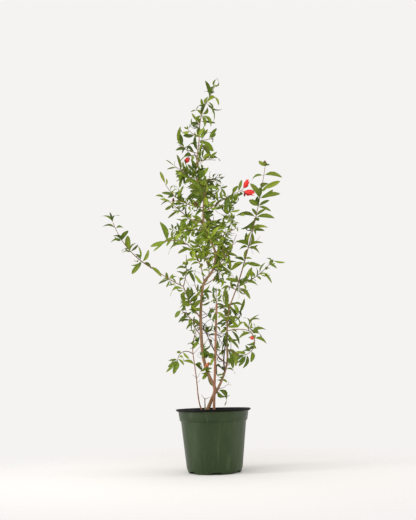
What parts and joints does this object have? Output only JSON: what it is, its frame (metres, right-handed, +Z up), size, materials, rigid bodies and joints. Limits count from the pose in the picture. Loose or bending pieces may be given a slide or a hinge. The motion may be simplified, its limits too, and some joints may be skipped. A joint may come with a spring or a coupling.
{
  "type": "potted pomegranate tree",
  "caption": "Young pomegranate tree in a round nursery pot: slender leaning stems, arching boughs, open sprays of narrow glossy leaves, red blossom and buds.",
  "frame": {"origin": "centre of the pot's flat underside, on the ground", "axes": "+Z up, along the tree; -Y the front, which the long right-hand shoot and the low left-hand arm stand across; +X to the right of the front"},
  "size_m": [0.5226, 0.2589, 1.1711],
  "materials": {
    "pot": "semi-gloss moulded plastic, dark muted green",
    "potting_mix": "rough, dark, fibrous",
    "bark": "matt tan-brown bark with fine lengthwise grain",
    "young_bark": "smoother reddish-brown bark",
    "dead_wood": "matt weathered grey-brown",
    "leaf": "glossy mid-green leaf",
    "dark_leaf": "glossy dark green leaf",
    "fresh_leaf": "satin yellow-green young leaf"
  },
  "bodies": {
    "root": {"pot": "pot", "potting_mix": "potting_mix", "leader_stem": "bark", "front_stem": "young_bark", "left_stem": "young_bark", "right_stem": "bark", "dead_stub": "dead_wood", "far_left_bough": "bark", "far_left_arm": "bark", "arching_bough": "bark", "right_fork_bough": "bark", "flower_bough": "bark", "upper_left_low_bough": "bark", "right_low_bough": "bark", "crossing_bough": "bark", "leader_top_spray": "leaf", "tip_left_spray": "leaf", "tip_right_spray": "fresh_leaf", "leader_left_spray": "leaf", "high_left_spray": "dark_leaf", "high_right_spray": "leaf", "upper_right_spray": "leaf", "back_top_spray": "leaf", "upper_left_flower_spray": "leaf", "right_shoulder_spray": "dark_leaf", "front_high_spray": "leaf", "back_high_spray": "dark_leaf", "upper_left_high_spray": "leaf", "flower_spray": "leaf", "upper_left_low_spray": "leaf", "left_bright_spray": "fresh_leaf", "back_mid_spray": "dark_leaf", "front_bright_spray": "fresh_leaf", "mid_right_spray": "leaf", "center_right_spray": "leaf", "inner_right_spray": "leaf", "center_bright_spray": "fresh_leaf", "broad_leaf_spray": "fresh_leaf", "back_right_spray": "dark_leaf", "back_low_spray": "dark_leaf", "left_upright_spray": "leaf", "far_left_spray": "dark_leaf", "left_cluster_spray": "dark_leaf", "left_low_spray": "leaf", "left_back_spray": "dark_leaf", "right_tall_spray": "dark_leaf", "right_outer_spray": "leaf", "right_node_spray": "dark_leaf", "left_node_spray": "leaf", "right_back_spray": "dark_leaf", "right_cluster_side_spray": "leaf", "right_cluster_front_spray": "leaf", "right_low_upright_spray": "leaf", "bud_spray": "leaf", "right_base_spray": "dark_leaf", "crossing_spray": "dark_leaf", "front_top_spray": "dark_leaf", "low_flower_spray": "dark_leaf", "left_stem_spray": "dark_leaf", "bottom_left_spray": "fresh_leaf"}
  },
  "joints": []
}
